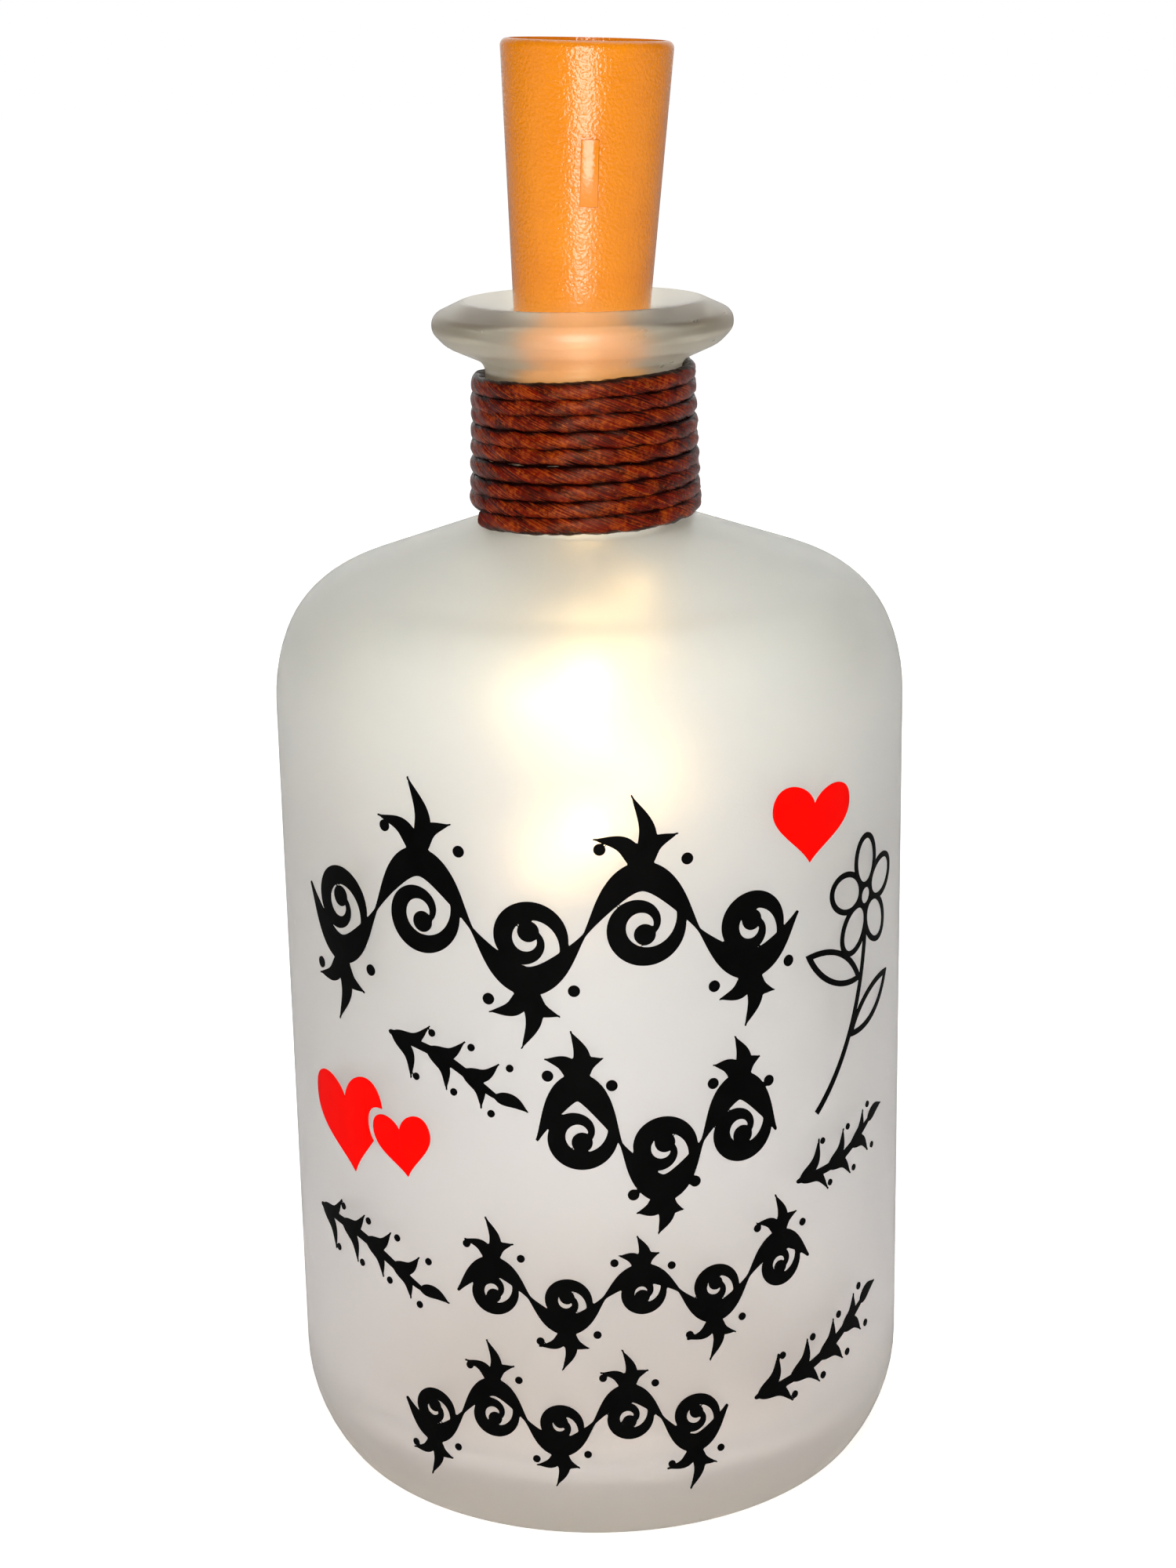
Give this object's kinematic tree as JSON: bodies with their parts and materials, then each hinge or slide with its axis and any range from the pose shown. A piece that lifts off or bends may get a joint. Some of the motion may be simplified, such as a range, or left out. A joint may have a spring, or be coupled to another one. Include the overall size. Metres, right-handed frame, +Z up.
{
  "type": "cork bottle light",
  "caption": "Frosted glass apothecary bottle with a cord-wound neck, heart and flower films, and a battery stopper light whose LED string hangs inside.",
  "frame": {"origin": "middle of the foot, on the surface that the bottle stands on", "axes": "+Z up along the bottle's axis, front with the hearts and the flower faces -Y"},
  "size_m": [0.082, 0.082, 0.1875],
  "materials": {
    "frosted_glass": "sprayed frosted glass, satin",
    "waxed_cord": "twisted waxed cord, satin",
    "red_film": "cut vinyl film",
    "black_film": "cut vinyl film",
    "stopper_plastic": "moulded, fine spark texture",
    "cradle_plastic": "moulded",
    "soft_rubber": "soft bush",
    "circuit_board": "solder-masked board",
    "spring_steel": "nickel-plated wire",
    "contact_metal": "nickel-plated strip",
    "resistor_body": "chip resistor",
    "string_wire": "silver twisted pair in clear lacquer",
    "clear_resin": "clear resin",
    "lit_bead": "resin drop, lit warm white",
    "cell_steel": "nickel-plated can",
    "switch_case": "folded steel case",
    "switch_black": "moulded, ridged"
  },
  "bodies": {
    "bottle": {"glass_bottle": "frosted_glass", "neck_cord": "waxed_cord", "heart_film_upper": "red_film", "heart_film_large": "red_film", "heart_film_small": "red_film", "flower_film": "black_film"},
    "stopper_light": {"cork_shell": "stopper_plastic", "wire_gland": "soft_rubber", "contact_board": "circuit_board", "contact_spring": "spring_steel", "side_leaf": "contact_metal", "series_resistor": "resistor_body", "led_lead": "string_wire", "led_coil": "string_wire", "wire_end_seal": "clear_resin", "led_bead_1": "lit_bead", "led_bead_2": "lit_bead", "led_bead_3": "lit_bead", "led_bead_4": "lit_bead", "led_bead_5": "lit_bead", "led_bead_6": "lit_bead", "led_bead_7": "lit_bead", "led_bead_8": "lit_bead"},
    "battery_cradle": {"cradle_frame": "cradle_plastic", "coin_cell_1": "cell_steel", "coin_cell_2": "cell_steel", "coin_cell_3": "cell_steel", "top_contact": "contact_metal", "bottom_contact": "contact_metal", "conductor_strip": "contact_metal", "switch_housing": "switch_case", "switch_terminals": "contact_metal"},
    "switch_knob": {"switch_slider": "switch_black"}
  },
  "joints": [
    {"name": "stopper_pull", "type": "slide", "parent": "bottle", "child": "stopper_light", "axis": [0, 0, 1], "range_m": [0, 0.1]},
    {"name": "cradle_pull", "type": "slide", "parent": "stopper_light", "child": "battery_cradle", "axis": [0.0384, 0, 0.9993], "range_m": [0, 0.03]},
    {"name": "switch_slide", "type": "slide", "parent": "battery_cradle", "child": "switch_knob", "axis": [0.9993, 0, -0.0384], "range_m": [-0.002, 0]}
  ]
}
